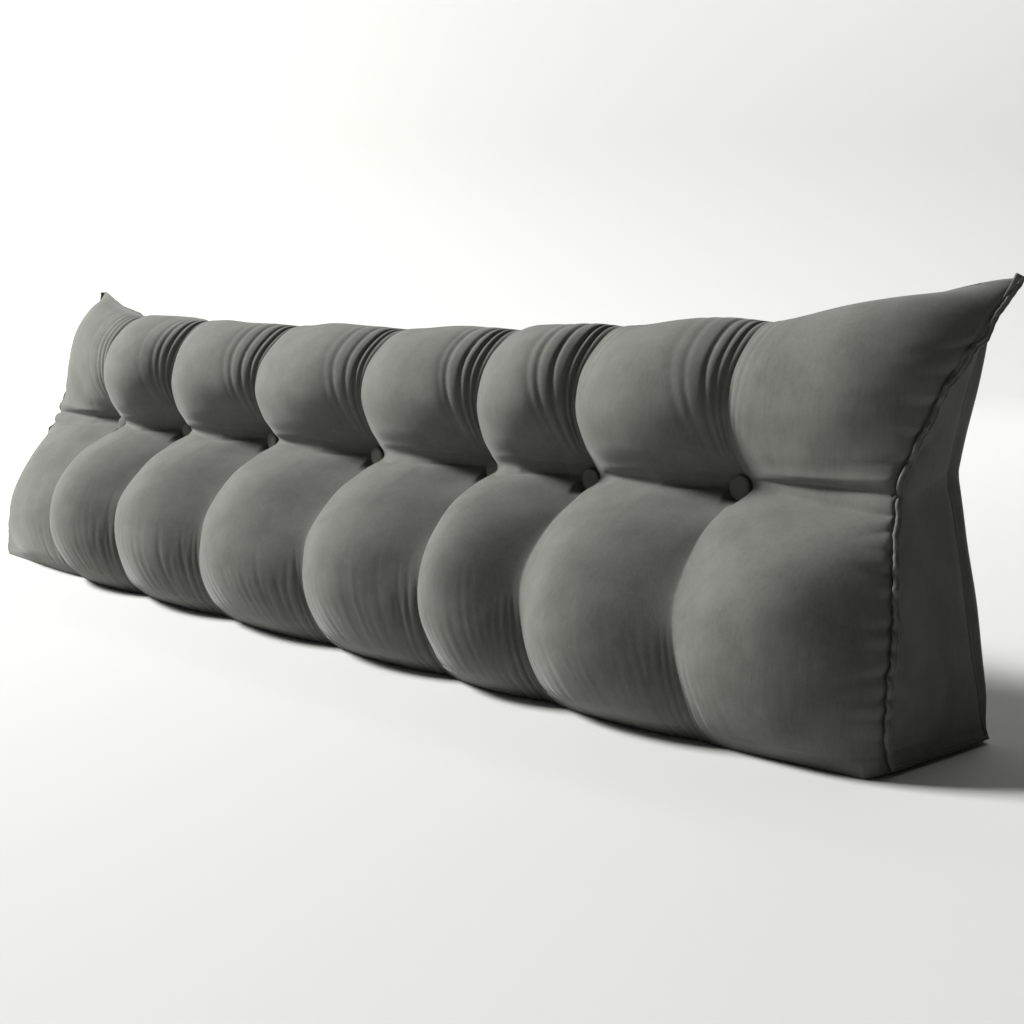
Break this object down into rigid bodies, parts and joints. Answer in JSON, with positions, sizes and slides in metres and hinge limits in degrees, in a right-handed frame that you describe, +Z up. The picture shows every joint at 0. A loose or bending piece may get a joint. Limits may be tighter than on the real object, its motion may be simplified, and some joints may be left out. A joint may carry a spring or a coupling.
{
  "type": "backrest pillow",
  "caption": "Long filled wedge backrest pillow with a row of covered buttons, deep folds, pointed top corners and a flat base to stand on.",
  "frame": {"origin": "middle of the pillow's box, on the surface that it stands on", "axes": "+X along the pillow to the right as seen from its buttoned front, -Y out of the front, +Z up"},
  "size_m": [2.008, 0.3515, 0.5017],
  "materials": {
    "cushion_cloth": "short brushed pile, dull, warm grey",
    "button_cloth": "the same cloth stretched over a button",
    "welt_cloth": "the same cloth, folded and stitched into a narrow ridge"
  },
  "bodies": {
    "root": {"cushion": "cushion_cloth", "button_1": "button_cloth", "button_2": "button_cloth", "button_3": "button_cloth", "button_4": "button_cloth", "button_5": "button_cloth", "button_6": "button_cloth", "button_7": "button_cloth", "seam_welt_left": "welt_cloth", "seam_welt_right": "welt_cloth"}
  },
  "joints": []
}
